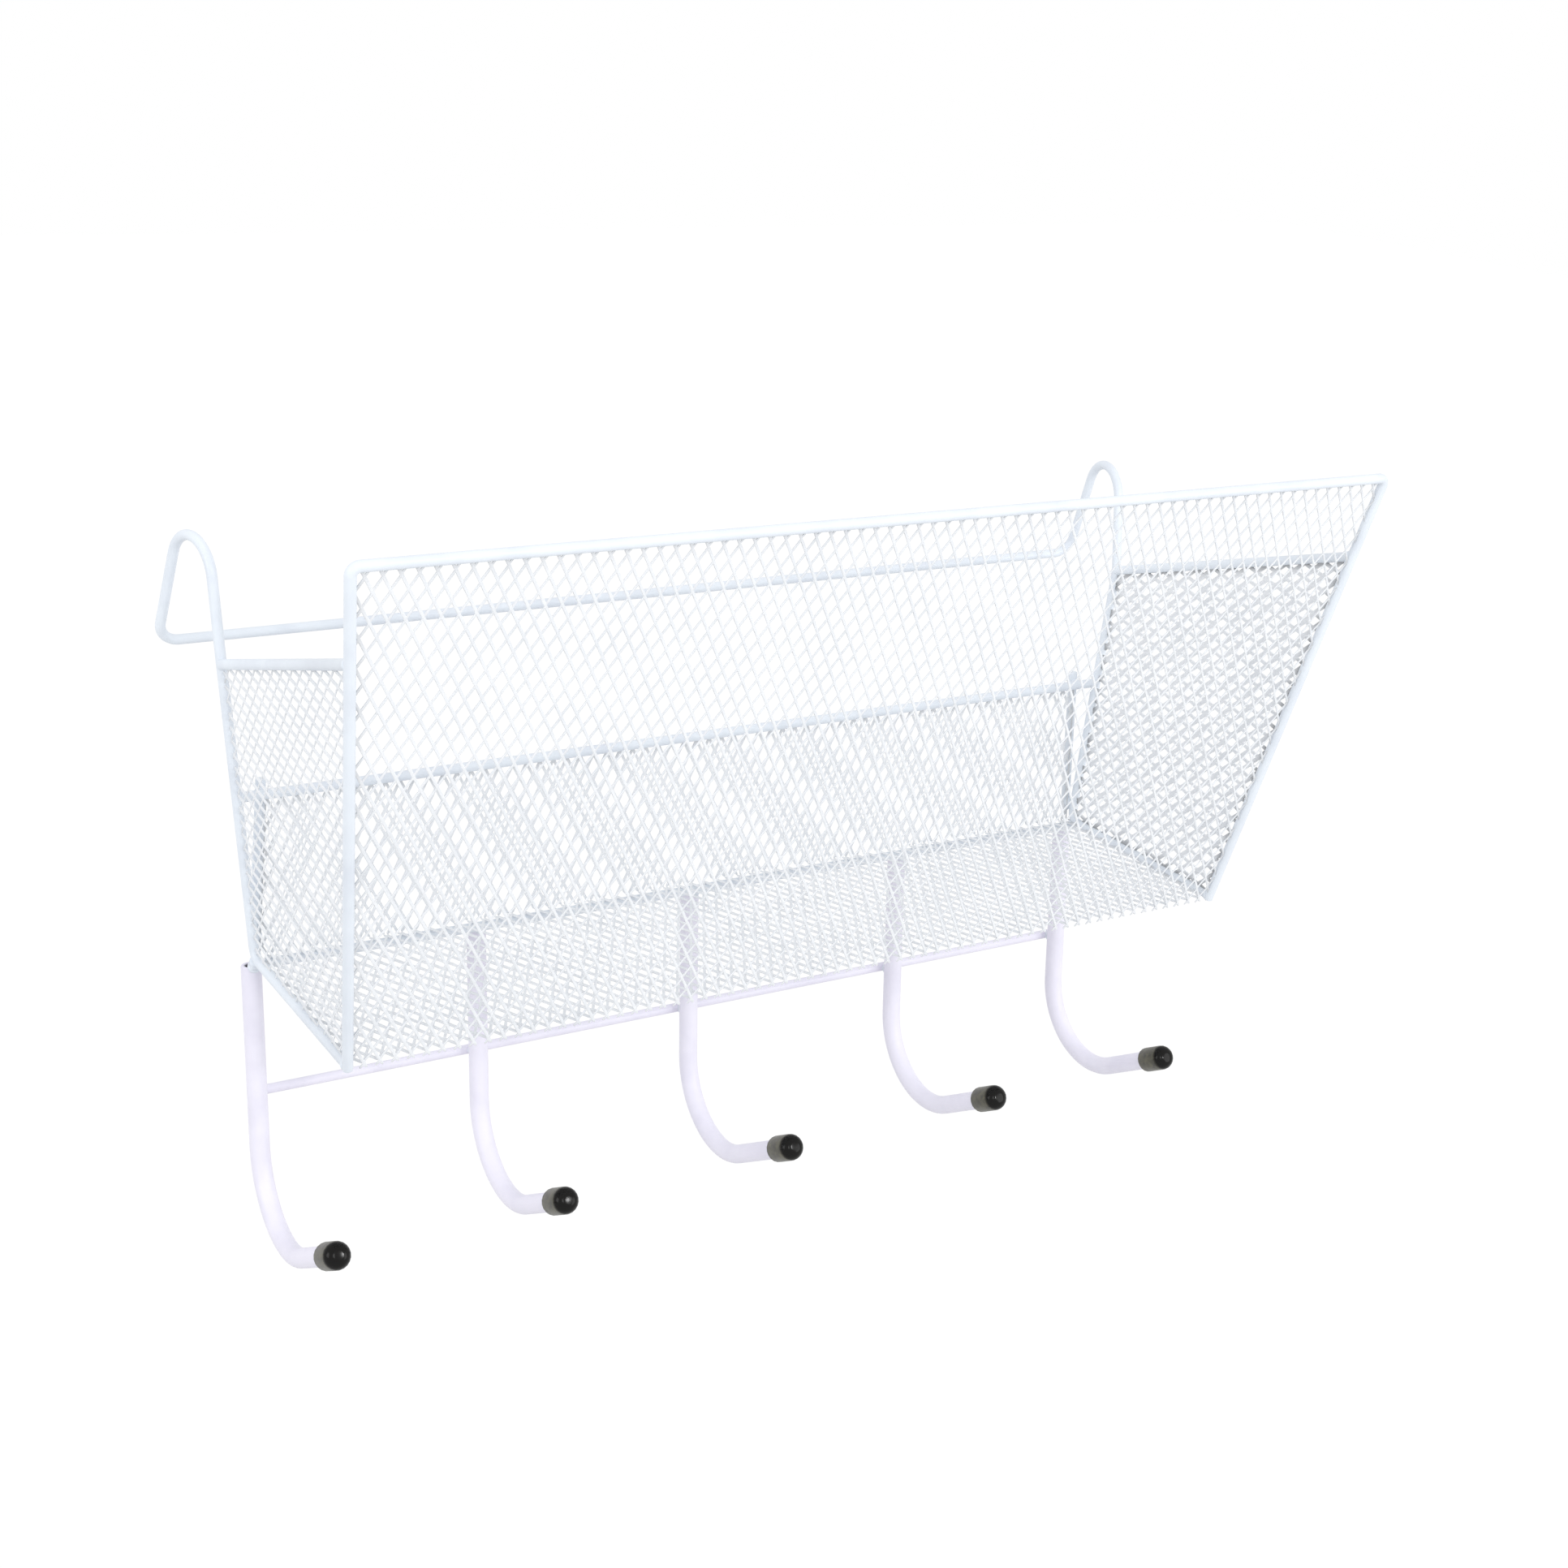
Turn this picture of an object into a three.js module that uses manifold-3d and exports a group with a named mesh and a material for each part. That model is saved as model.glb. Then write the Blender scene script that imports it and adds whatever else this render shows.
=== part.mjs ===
// Hanging bedside basket: a bent wire frame with diamond mesh walls and five capped tube hooks.
// Millimetres. +X runs along the bed rail, -Y is the front of the basket and +Z is up.
// The origin is where the rail bears on the hanger, midway between its two arches.

import * as THREE from 'three';
import { mergeVertices } from 'three/addons/utils/BufferGeometryUtils.js';
import Module from 'manifold-3d';

const wasm = await Module();
wasm.setup();

// Stock
const WIRE = 4;
const TUBE = 8;
const TUBE_WALL = 1.5;
const SHEET = 1.2;
const SEAM = 0.3; // clearance left at every weld, lap and push fit

// Basket, along the centre lines of its wires
const FLOOR_WIDTH = 396;
const FLOOR_DEPTH = 99;
const TOP_FLARE = 17; // how far each end stands out at the top rail
const FRONT_SLOPE_HEIGHT = 202;
const FRONT_LEAN_DEG = 14.3;
const END_RAIL_SHARE = 0.827; // of the front post, up to the end rail
const END_BACK_HEIGHT = 120; // up the back upright to the end rail
const BACK_HEIGHT = 67;

// Back posts, lapped behind the uprights at the foot and behind the back rail at the top
const POST_FOOT_HEIGHT = 4;
const POST_FOOT_INSET = 1.5;
const POST_TOP_INSET = 10.5;
const POST_OVERRUN = 5;

// Hanger above the end rails
const HANGER_DEPTH = 48;
const HANGER_SPLAY = 9.6; // how much wider each crossbar end stands than its upright
const CROSSBAR_DROP = 4; // below the end rails
const ARCH_RISE = 44; // above the end rails
const ARCH_SHARE = 0.41; // of the way back to the crossbar

// Centre line radii of the bends
const FLOOR_BEND = 5;
const SHOULDER_BEND = 30;
const ARCH_BEND = 15;
const CROSSBAR_BEND = 8;
const FRONT_BEND = 5;
const HOOK_BEND = 32;

// Hooks and their tie bar
const HOOK_INSET = 1.5; // ends of the hook row, in from the floor wires
const HOOK_SHARES = [-0.004, 0.237, 0.49, 0.762, 1]; // places along the row, as welded by hand
const STEM_TUCK = 1; // from the rail's centre line back to the front of the tube
const STEM_LEAN_DEG = 4.5;
const STEM_LENGTH = 127.5; // to the corner that the bend rounds off
const TAIL_LENGTHS = [95.5, 92.3, 98.5, 92.3, 92.3]; // as bent by hand
const TAIL_RISE_DEG = 30.4;
const TIE_DROP = 56;

// Caps
const CAP_WALL = 1.2;
const CAP_GRIP = 12;
const CAP_END = 2.6;
const CAP_DOME = 4;
const CAP_LIP = 0.8;

// Diamond mesh. Each diamond of these panels stands for a block of four by four in the sheet.
const DIAMOND_WIDTH = 24;
const DIAMOND_HEIGHT = 44;
const STRAND = 3;
const MESH_BORDER = 2;

// Fineness of round work
const WIRE_SIDES = 10;
const TUBE_SIDES = 12;
const BORE_SIDES = 8;
const CAP_SIDES = 14;
const DOME_STEPS = 4;
const BEND_STEP_DEG = 20;

const coat = { color: 0xf3f3fb, roughness: 0.42, metalness: 0.0 };
const vinyl = { color: 0x1d1b19, roughness: 0.32, metalness: 0.0 };

const rad = THREE.MathUtils.degToRad;
const X = new THREE.Vector3(1, 0, 0);
const Y = new THREE.Vector3(0, 1, 0);
const basket = new THREE.Group();

function addPiece(name, geometry, finish) {
  const piece = new THREE.Mesh(geometry, new THREE.MeshStandardMaterial(finish));
  piece.name = name;
  basket.add(piece);
  return piece;
}

// Bent stock: straight runs joined by round bends, with a station only where the direction changes.
class BentStock extends THREE.Curve {
  constructor(corners, bends = []) {
    super();
    this.stations = [];
    corners.forEach((corner, i) => {
      const before = corners[i - 1];
      const after = corners[i + 1];
      if (before && after) this.addBend(before, corner, after, bends[i - 1]);
      else this.addEnd(corner, before ? corner.clone().sub(before) : after.clone().sub(corner));
    });
  }

  addEnd(point, direction) {
    this.stations.push({ point, tangent: direction.normalize() });
  }

  addBend(before, corner, after, radius) {
    const into = corner.clone().sub(before).normalize();
    const out = after.clone().sub(corner).normalize();
    const turn = into.angleTo(out);
    const axis = into.clone().cross(out).normalize();
    const start = corner.clone().addScaledVector(into, -radius * Math.tan(turn / 2));
    const arm = axis.clone().cross(into).multiplyScalar(-radius);
    const centre = start.clone().sub(arm);
    const steps = Math.max(2, Math.ceil(turn / rad(BEND_STEP_DEG)));
    for (let i = 0; i <= steps; i += 1) {
      const angle = (turn * i) / steps;
      this.stations.push({
        point: arm.clone().applyAxisAngle(axis, angle).add(centre),
        tangent: into.clone().applyAxisAngle(axis, angle),
      });
    }
  }

  get steps() {
    return this.stations.length - 1;
  }

  stationAt(u) {
    return this.stations[Math.round(u * this.steps)];
  }

  getPointAt(u, target = new THREE.Vector3()) {
    return target.copy(this.stationAt(u).point);
  }

  getTangentAt(u, target = new THREE.Vector3()) {
    return target.copy(this.stationAt(u).tangent);
  }
}

function ring(path, diameter, sides) {
  for (let i = 0; i < sides; i += 1) {
    const angle = (2 * Math.PI * i) / sides;
    const x = (diameter / 2) * Math.cos(angle);
    const y = (diameter / 2) * Math.sin(angle);
    if (i === 0) path.moveTo(x, y);
    else path.lineTo(x, y);
  }
  path.closePath();
  return path;
}

function sweep(section, stock) {
  return new THREE.ExtrudeGeometry(section, {
    steps: stock.steps,
    extrudePath: stock,
    bevelEnabled: false,
  });
}

function wire(corners, bends) {
  return sweep(ring(new THREE.Shape(), WIRE, WIRE_SIDES), new BentStock(corners, bends));
}

// Distance from a crossing of two wire axes to the square end of the wire that butts there.
function buttSetback(along, across) {
  const angle = along.angleTo(across);
  return (WIRE / 2) * (1 / Math.sin(angle) + Math.abs(1 / Math.tan(angle))) + SEAM;
}

function buttedWire(from, to, fromAxis, toAxis) {
  const along = to.clone().sub(from).normalize();
  const start = from.clone().addScaledVector(along, buttSetback(along, fromAxis));
  const end = to.clone().addScaledVector(along, -buttSetback(along, toAxis));
  return wire([start, end]);
}

// Joining and cutting of closed meshes
function solidOf(geometry) {
  const bare = geometry.clone();
  bare.deleteAttribute('normal');
  bare.deleteAttribute('uv');
  const merged = mergeVertices(bare);
  const vertProperties = Float32Array.from(merged.attributes.position.array);
  const triVerts = Uint32Array.from(merged.index.array);
  return new wasm.Manifold(new wasm.Mesh({ numProp: 3, vertProperties, triVerts }));
}

function geometryOf(solid) {
  const mesh = solid.getMesh();
  const geometry = new THREE.BufferGeometry();
  geometry.setAttribute('position', new THREE.BufferAttribute(mesh.vertProperties, 3));
  geometry.setIndex(new THREE.BufferAttribute(mesh.triVerts, 1));
  geometry.computeVertexNormals();
  return geometry;
}

// Flat outlines, anticlockwise
function insetOutline(corners, insets) {
  const edges = corners.map((corner, i) => {
    const next = corners[(i + 1) % corners.length];
    const along = next.clone().sub(corner).normalize();
    const inward = new THREE.Vector2(-along.y, along.x);
    return { point: corner.clone().addScaledVector(inward, insets[i]), along };
  });
  return edges.map((edge, i) => {
    const last = edges[(i + edges.length - 1) % edges.length];
    const reach = edge.point.clone().sub(last.point).cross(edge.along) / last.along.cross(edge.along);
    return last.point.clone().addScaledVector(last.along, reach);
  });
}

function nipCorners(corners, size) {
  return corners.flatMap((corner, i) => {
    const before = corners[(i + corners.length - 1) % corners.length];
    const after = corners[(i + 1) % corners.length];
    return [before, after].map((other) => {
      const toOther = other.clone().sub(corner).setLength(size);
      return corner.clone().add(toOther);
    });
  });
}

function slab(shapes, thickness) {
  const geometry = new THREE.ExtrudeGeometry(shapes, { depth: thickness, bevelEnabled: false });
  return geometry.translate(0, 0, -thickness / 2);
}

function diamond(x, y) {
  const slant = Math.hypot(DIAMOND_WIDTH, DIAMOND_HEIGHT);
  const share = 1 - (STRAND * slant) / (DIAMOND_WIDTH * DIAMOND_HEIGHT);
  const across = (DIAMOND_WIDTH / 2) * share;
  const up = (DIAMOND_HEIGHT / 2) * share;
  const corners = [[across, 0], [0, up], [-across, 0], [0, -up]];
  return new THREE.Shape(corners.map(([dx, dy]) => new THREE.Vector2(x + dx, y + dy)));
}

// Rows of diamonds over a box, centred on it, with every other row set half a diamond aside
function diamondField(box) {
  const centre = box.getCenter(new THREE.Vector2());
  const size = box.getSize(new THREE.Vector2());
  const rows = Math.ceil(size.y / DIAMOND_HEIGHT);
  const columns = Math.ceil(size.x / DIAMOND_WIDTH / 2);
  const shapes = [];
  for (let row = -rows; row <= rows; row += 1) {
    const aside = row % 2 ? DIAMOND_WIDTH / 2 : 0;
    for (let column = -columns; column <= columns; column += 1) {
      const x = centre.x + column * DIAMOND_WIDTH + aside;
      shapes.push(diamond(x, centre.y + (row * DIAMOND_HEIGHT) / 2));
    }
  }
  return shapes;
}

function meshPanel(corners) {
  const even = corners.map(() => MESH_BORDER);
  const open = new THREE.Shape(insetOutline(corners, even));
  const field = diamondField(new THREE.Box2().setFromPoints(corners));
  const gaps = solidOf(slab(field, 2 * SHEET)).intersect(solidOf(slab(open, 2 * SHEET)));
  const sheet = solidOf(slab(new THREE.Shape(nipCorners(corners, cornerNip)), SHEET));
  return geometryOf(sheet.subtract(gaps));
}

// Planes of the basket. The two ends flare outwards from the floor.
const lean = rad(FRONT_LEAN_DEG);
const frontHeight = FRONT_SLOPE_HEIGHT * Math.cos(lean);
const endSlopeHeight = FRONT_SLOPE_HEIGHT * END_RAIL_SHARE;
const flare = TOP_FLARE / frontHeight;
const flareAngle = Math.atan(flare);
const beside = WIRE / 2 + SEAM;
const cornerNip = Math.max(FLOOR_BEND, FRONT_BEND) - beside + SEAM; // clears the bends

function onEnd(side, y, z) {
  return new THREE.Vector3(side * (FLOOR_WIDTH / 2 + flare * z), y, z);
}

function upFront(side, distance) {
  return onEnd(side, -FLOOR_DEPTH - distance * Math.sin(lean), distance * Math.cos(lean));
}

// Arch of the hanger, in the upright plane of one side: s runs back from the upright
const splay = Math.atan2(HANGER_SPLAY, HANGER_DEPTH);
const crossbarReach = Math.hypot(HANGER_DEPTH, HANGER_SPLAY);
const crossbarHeight = END_BACK_HEIGHT - CROSSBAR_DROP;
const archHeight = END_BACK_HEIGHT + ARCH_RISE;
const archReach = crossbarReach * ARCH_SHARE;

function onHanger(side, { x: s, y: z }) {
  const shoulder = onEnd(side, 0, END_BACK_HEIGHT);
  return shoulder.setZ(z).add(new THREE.Vector3(side * s * Math.sin(splay), s * Math.cos(splay), 0));
}

function tangentAngle(from, centre, turn) {
  const reach = centre.clone().sub(from);
  return reach.angle() + turn * Math.asin(ARCH_BEND / reach.length());
}

function archPeak() {
  const centre = new THREE.Vector2(archReach, archHeight - ARCH_BEND);
  const front = new THREE.Vector2(0, END_BACK_HEIGHT);
  const rear = new THREE.Vector2(crossbarReach, crossbarHeight);
  const frontAngle = tangentAngle(front, centre, 1);
  const rearAngle = tangentAngle(rear, centre, -1);
  const frontRun = new THREE.Vector2(Math.cos(frontAngle), Math.sin(frontAngle));
  const rearRun = new THREE.Vector2(Math.cos(rearAngle), Math.sin(rearAngle));
  const reach = rear.clone().sub(front).cross(rearRun) / frontRun.cross(rearRun);
  return front.addScaledVector(frontRun, reach);
}

// Wire frame
const postAxis = (side) => upFront(side, 1).sub(upFront(side, 0));
const uprightAxis = (side) => onEnd(side, 0, 1).sub(onEnd(side, 0, 0));
const floorEnd = FLOOR_DEPTH - buttSetback(Y, postAxis(1));

function hangerSide(side) {
  return [
    onEnd(side, -floorEnd, 0),
    onEnd(side, 0, 0),
    onEnd(side, 0, END_BACK_HEIGHT),
    onHanger(side, archPeak()),
    onHanger(side, new THREE.Vector2(crossbarReach, crossbarHeight)),
  ];
}

const sideBends = [FLOOR_BEND, SHOULDER_BEND, ARCH_BEND, CROSSBAR_BEND];
const hangerRoute = [...hangerSide(-1), ...hangerSide(1).reverse()];
addPiece('hanger_wire', wire(hangerRoute, [...sideBends, ...sideBends.toReversed()]), coat);

const frontRoute = [
  upFront(-1, -WIRE / 2),
  upFront(-1, FRONT_SLOPE_HEIGHT),
  upFront(1, FRONT_SLOPE_HEIGHT),
  upFront(1, -WIRE / 2),
];
addPiece('front_frame', wire(frontRoute, [FRONT_BEND, FRONT_BEND]), coat);

const sides = [['left', -1], ['right', 1]];
for (const [label, side] of sides) {
  const back = onEnd(side, 0, END_BACK_HEIGHT);
  const front = upFront(side, endSlopeHeight);
  const rail = buttedWire(back, front, uprightAxis(side), postAxis(side));
  addPiece(`${label}_end_rail`, rail, coat);
}

const backEnds = [-1, 1].map((side) => onEnd(side, 0, BACK_HEIGHT));
const backRail = buttedWire(...backEnds, uprightAxis(-1), uprightAxis(1));
addPiece('back_rail', backRail, coat);

function onPost(side, z) {
  const climb = (z - POST_FOOT_HEIGHT) / (BACK_HEIGHT - POST_FOOT_HEIGHT);
  const foot = onEnd(1, 0, POST_FOOT_HEIGHT).x - POST_FOOT_INSET;
  const top = onEnd(1, 0, BACK_HEIGHT).x - POST_TOP_INSET;
  return new THREE.Vector3(side * THREE.MathUtils.lerp(foot, top, climb), WIRE + SEAM, z);
}

for (const [label, side] of sides) {
  const post = wire([onPost(side, POST_FOOT_HEIGHT), onPost(side, BACK_HEIGHT + POST_OVERRUN)]);
  addPiece(`${label}_back_post`, post, coat);
}

// The back floor rail lies against the outside of the two floor bends.
const railReach = FLOOR_BEND + WIRE + SEAM;
const railHeight = FLOOR_BEND - Math.sqrt(railReach ** 2 - FLOOR_BEND ** 2);

function crosswire(halfLength, y, z) {
  return wire([new THREE.Vector3(-halfLength, y, z), new THREE.Vector3(halfLength, y, z)]);
}

addPiece('back_floor_rail', crosswire(FLOOR_WIDTH / 2 + WIRE / 2, 0, railHeight), coat);

// Mesh panels
const floorHeight = railHeight + WIRE / 2 + SEAM + SHEET / 2;
const backPlane = WIRE / 2 - SHEET / 2;
const underside = floorHeight - SHEET / 2;
const flat = (x, y) => new THREE.Vector2(x, y);

const frontOutline = insetOutline([
  flat(-FLOOR_WIDTH / 2, 0),
  flat(FLOOR_WIDTH / 2, 0),
  flat(FLOOR_WIDTH / 2 + TOP_FLARE, FRONT_SLOPE_HEIGHT),
  flat(-FLOOR_WIDTH / 2 - TOP_FLARE, FRONT_SLOPE_HEIGHT),
], [underside / Math.cos(lean), beside, beside, beside]);
const frontMesh = addPiece('front_mesh', meshPanel(frontOutline), coat);
frontMesh.position.set(0, -FLOOR_DEPTH, 0);
frontMesh.rotation.x = Math.PI / 2 + lean;

const floorFront = FLOOR_DEPTH + underside * Math.tan(lean) - SHEET / 2 / Math.cos(lean) - SEAM;
const floorBack = backPlane - SHEET / 2 - SEAM;
const floorSide = FLOOR_WIDTH / 2 - beside;
const floorOutline = [
  flat(-floorSide, -floorFront),
  flat(floorSide, -floorFront),
  flat(floorSide, floorBack),
  flat(-floorSide, floorBack),
];
const floorMesh = addPiece('floor_mesh', meshPanel(floorOutline), coat);
floorMesh.position.set(0, 0, floorHeight);

const backTop = BACK_HEIGHT - beside;
const postInner = (z) => onPost(1, z).x - POST_FOOT_INSET;
const backOutline = [
  flat(-postInner(underside), underside),
  flat(postInner(underside), underside),
  flat(postInner(backTop), backTop),
  flat(-postInner(backTop), backTop),
];
const backMesh = addPiece('back_mesh', meshPanel(backOutline), coat);
backMesh.position.set(0, backPlane, 0);
backMesh.rotation.x = Math.PI / 2;

// End panels are cut with their diamonds lying along the end rail.
const upEnd = (point) => flat(point.y, point.z / Math.cos(flareAngle));
const endCorners = [
  upEnd(onEnd(1, -FLOOR_DEPTH, 0)),
  upEnd(onEnd(1, 0, 0)),
  upEnd(onEnd(1, 0, END_BACK_HEIGHT)),
  upEnd(upFront(1, endSlopeHeight)),
];
const railTurn = Math.PI / 2 - endCorners[3].clone().sub(endCorners[2]).angle();
const endOutline = insetOutline(endCorners, [beside, beside, beside, beside]);
endOutline.forEach((corner) => corner.rotateAround(flat(0, 0), railTurn));
for (const [label, side] of sides) {
  const endMesh = addPiece(`${label}_end_mesh`, meshPanel(endOutline), coat);
  const slope = new THREE.Vector3(side * Math.sin(flareAngle), 0, Math.cos(flareAngle));
  const turn = new THREE.Matrix4().makeBasis(Y, slope, Y.clone().cross(slope));
  endMesh.quaternion.setFromRotationMatrix(turn);
  endMesh.rotateZ(-railTurn);
  endMesh.position.copy(onEnd(side, 0, 0));
}

// Hooks. Each stem tucks under the back floor rail and leans forward into its bend.
const stemLean = rad(STEM_LEAN_DEG);
const tailRise = rad(TAIL_RISE_DEG);
const stemRun = new THREE.Vector3(0, -Math.sin(stemLean), -Math.cos(stemLean));
const tailRun = new THREE.Vector3(0, -Math.cos(tailRise), Math.sin(tailRise));
const stemBack = X.clone().cross(stemRun);
const stemTopHeight = railHeight - Math.sqrt(beside ** 2 - STEM_TUCK ** 2);
const hookRow = FLOOR_WIDTH - 2 * HOOK_INSET;

function stemTop(x) {
  return new THREE.Vector3(x, TUBE / 2 + STEM_TUCK, stemTopHeight);
}

const tubeSection = ring(new THREE.Shape(), TUBE, TUBE_SIDES);
tubeSection.holes.push(ring(new THREE.Path(), TUBE - 2 * TUBE_WALL, BORE_SIDES));

function capProfile() {
  const bore = TUBE / 2 + SEAM;
  const radius = bore + CAP_WALL;
  const top = SEAM + CAP_END;
  const points = [flat(0, SEAM), flat(bore, SEAM), flat(bore, -CAP_GRIP)];
  points.push(flat(radius - CAP_LIP, -CAP_GRIP), flat(radius, CAP_LIP - CAP_GRIP));
  for (let i = 0; i <= DOME_STEPS; i += 1) {
    const angle = (Math.PI / 2) * (i / DOME_STEPS);
    points.push(flat(radius - CAP_DOME * (1 - Math.cos(angle)), top - CAP_DOME * (1 - Math.sin(angle))));
  }
  points.push(flat(0, top));
  return points;
}

HOOK_SHARES.forEach((share, i) => {
  const top = stemTop(hookRow * (share - 0.5));
  const corner = top.clone().addScaledVector(stemRun, STEM_LENGTH);
  const end = corner.clone().addScaledVector(tailRun, TAIL_LENGTHS[i]);
  const tube = new BentStock([top, corner, end], [HOOK_BEND]);
  addPiece(`hook_${i + 1}`, sweep(tubeSection, tube), coat);
  const cap = addPiece(`hook_cap_${i + 1}`, new THREE.LatheGeometry(capProfile(), CAP_SIDES), vinyl);
  cap.quaternion.setFromUnitVectors(Y, tailRun);
  cap.position.copy(end);
});

const tieAxis = stemTop(0).addScaledVector(stemRun, TIE_DROP);
tieAxis.addScaledVector(stemBack, TUBE / 2 + WIRE / 2 + SEAM);
addPiece('hook_tie_bar', crosswire(hookRow / 2 + WIRE / 2, tieAxis.y, tieAxis.z), coat);

// The rail bears on the underside of the arches.
basket.position.set(0, -archReach * Math.cos(splay), WIRE / 2 - archHeight);

const group = new THREE.Group();
group.add(basket);

export default group;
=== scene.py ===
"""Hanging bedside basket: coated wire frame, expanded metal walls and a row of capped tube hooks."""

import logging
import math
from dataclasses import dataclass
from enum import Enum

import bmesh
import bpy
from bmesh.types import BMEdge, BMesh, BMFace, BMVert
from mathutils import Matrix, Quaternion, Vector, geometry, noise


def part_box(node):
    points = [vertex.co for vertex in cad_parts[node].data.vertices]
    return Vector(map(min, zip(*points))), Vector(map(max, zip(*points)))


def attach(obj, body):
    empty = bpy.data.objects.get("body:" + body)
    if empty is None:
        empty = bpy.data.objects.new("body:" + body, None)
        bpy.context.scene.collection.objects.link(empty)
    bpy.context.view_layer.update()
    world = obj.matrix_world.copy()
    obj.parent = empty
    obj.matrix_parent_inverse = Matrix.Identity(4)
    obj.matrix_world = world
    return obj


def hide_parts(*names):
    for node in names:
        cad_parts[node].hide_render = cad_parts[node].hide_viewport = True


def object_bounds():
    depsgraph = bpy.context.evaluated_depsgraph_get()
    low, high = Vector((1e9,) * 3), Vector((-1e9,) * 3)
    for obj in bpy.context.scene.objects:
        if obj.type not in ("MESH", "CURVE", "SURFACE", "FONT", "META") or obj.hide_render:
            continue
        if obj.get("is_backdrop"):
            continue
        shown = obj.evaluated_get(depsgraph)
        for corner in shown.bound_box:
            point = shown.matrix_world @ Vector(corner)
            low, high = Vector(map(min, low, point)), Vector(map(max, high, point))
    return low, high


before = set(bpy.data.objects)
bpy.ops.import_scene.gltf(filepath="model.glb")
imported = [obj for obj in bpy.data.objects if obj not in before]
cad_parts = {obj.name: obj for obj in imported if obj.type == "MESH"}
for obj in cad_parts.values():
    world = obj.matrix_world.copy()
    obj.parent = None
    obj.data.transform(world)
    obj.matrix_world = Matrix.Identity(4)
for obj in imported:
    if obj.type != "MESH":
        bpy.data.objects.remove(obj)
log = logging.getLogger("basket")

MM = 0.001
UP = Vector((0, 0, 1))
ALONG = Vector((1, 0, 0))
BACKWARD = Vector((0, 1, 0))
QUARTER_TURN = math.radians(90)
SMOOTH_CREASE = math.radians(40)
WHITE = "#FFFFFF"
BARE_AND_SHADE_MARK = "bare"  # vertex attribute: the share of the coat that is missing in a tube's bore, and of painted shade along the wires of the sheet panels


class Side(Enum):
    """The two ends of the basket; the value is the sign of x."""

    LEFT = -1
    RIGHT = 1


class WireEnd(Enum):
    """How the end of a wire or tube is finished."""

    CUT = "sawn off and softened by the coat"
    WELD = "run into the wire that it butts against"
    MOUTH = "left open, as a tube's end"


class Tip(Enum):
    """Which edge of every strand stands up from a panel's flat, as the sign of the turn about its y."""

    RIGHT_EDGE_UP = 1
    LEFT_EDGE_UP = -1


def linear(code: str) -> tuple[float, float, float, float]:
    """Turn an sRGB hex colour into linear light.

    Args:
        code: Colour as "#RRGGBB".

    Returns:
        Linear red, green and blue, and an alpha of 1.
    """
    shares = [int(code[i : i + 2], 16) / 255 for i in (1, 3, 5)]
    # The numbers are those of the sRGB curve.
    lit = [s / 12.92 if s <= 0.04045 else ((s + 0.055) / 1.055) ** 2.4 for s in shares]
    return (*lit, 1.0)


def add_node(
    tree: bpy.types.NodeTree, kind: str, inputs: dict[str | int, object] | None = None, **settings: object
) -> bpy.types.Node:
    """Add a node with its settings, values and links.

    Args:
        tree: Node tree of a material or world.
        kind: Blender's name of the node type.
        inputs: Values, or sockets to link from, by input name or number.
        **settings: Properties of the node.

    Returns:
        The new node.
    """
    node = tree.nodes.new(kind)
    for name, value in settings.items():
        setattr(node, name, value)
    for name, value in (inputs or {}).items():
        if isinstance(value, bpy.types.NodeSocket):
            tree.links.new(value, node.inputs[name])
        else:
            node.inputs[name].default_value = value
    return node


def per_metre(size_mm: float) -> float:
    """Give the texture scale at which one feature of a pattern is this many millimetres wide."""
    return 1 / (size_mm * MM)


def new_material(name: str) -> bpy.types.Material:
    """Make a material with an empty node tree.

    Args:
        name: The real material and how its surface was made.

    Returns:
        The new material.
    """
    material = bpy.data.materials.new(name)
    material.use_nodes = True
    material.node_tree.nodes.clear()
    return material


def add_object(name: str, data: bpy.types.ID) -> bpy.types.Object:
    """Put a mesh, lamp or camera into the scene.

    Args:
        name: Name of the new object.
        data: What it holds.

    Returns:
        The new object, at the origin.
    """
    thing = bpy.data.objects.new(name, data)
    bpy.context.scene.collection.objects.link(thing)
    return thing


def mesh_object(mesh: BMesh, name: str, material: bpy.types.Material) -> bpy.types.Object:
    """Turn a mesh into an object with one material.

    Args:
        mesh: Shape in metres; it is used up.
        name: Name of the new object.
        material: Material of all its faces.

    Returns:
        The new object, at the origin.
    """
    data = bpy.data.meshes.new(name)
    mesh.to_mesh(data)
    mesh.free()
    data.materials.append(material)
    return add_object(name, data)


def moved(mesh: BMesh, move: Matrix) -> BMesh:
    """Move a whole mesh and give it back."""
    bmesh.ops.transform(mesh, matrix=move, verts=mesh.verts[:])
    return mesh


def only(kind: type, parts: list) -> list:
    """Pick the vertices, edges or faces out of what an operator gives back."""
    return [part for part in parts if isinstance(part, kind)]


def rim_verts(rim: list[BMEdge]) -> set[BMVert]:
    """Give the vertices of a rim."""
    return {vert for edge in rim for vert in edge.verts}


def soften(mesh: BMesh, crease: float = SMOOTH_CREASE) -> None:
    """Point faces outwards and shade them smooth.

    Args:
        mesh: Closed shape.
        crease: Angle past which an edge stays sharp.
    """
    bmesh.ops.recalc_face_normals(mesh, faces=mesh.faces[:])
    for face in mesh.faces:
        face.smooth = True
    for edge in mesh.edges:
        edge.smooth = len(edge.link_faces) == 2 and edge.calc_face_angle() < crease


def sides(outline: list[Vector]) -> list[tuple[Vector, Vector]]:
    """Give each side of an outline as its start and end."""
    return list(zip(outline, [*outline[1:], outline[0]]))


def inward(start: Vector, end: Vector) -> Vector:
    """Give the direction from a side of an anticlockwise outline into the panel."""
    return UP.cross(end - start).normalized()


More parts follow.
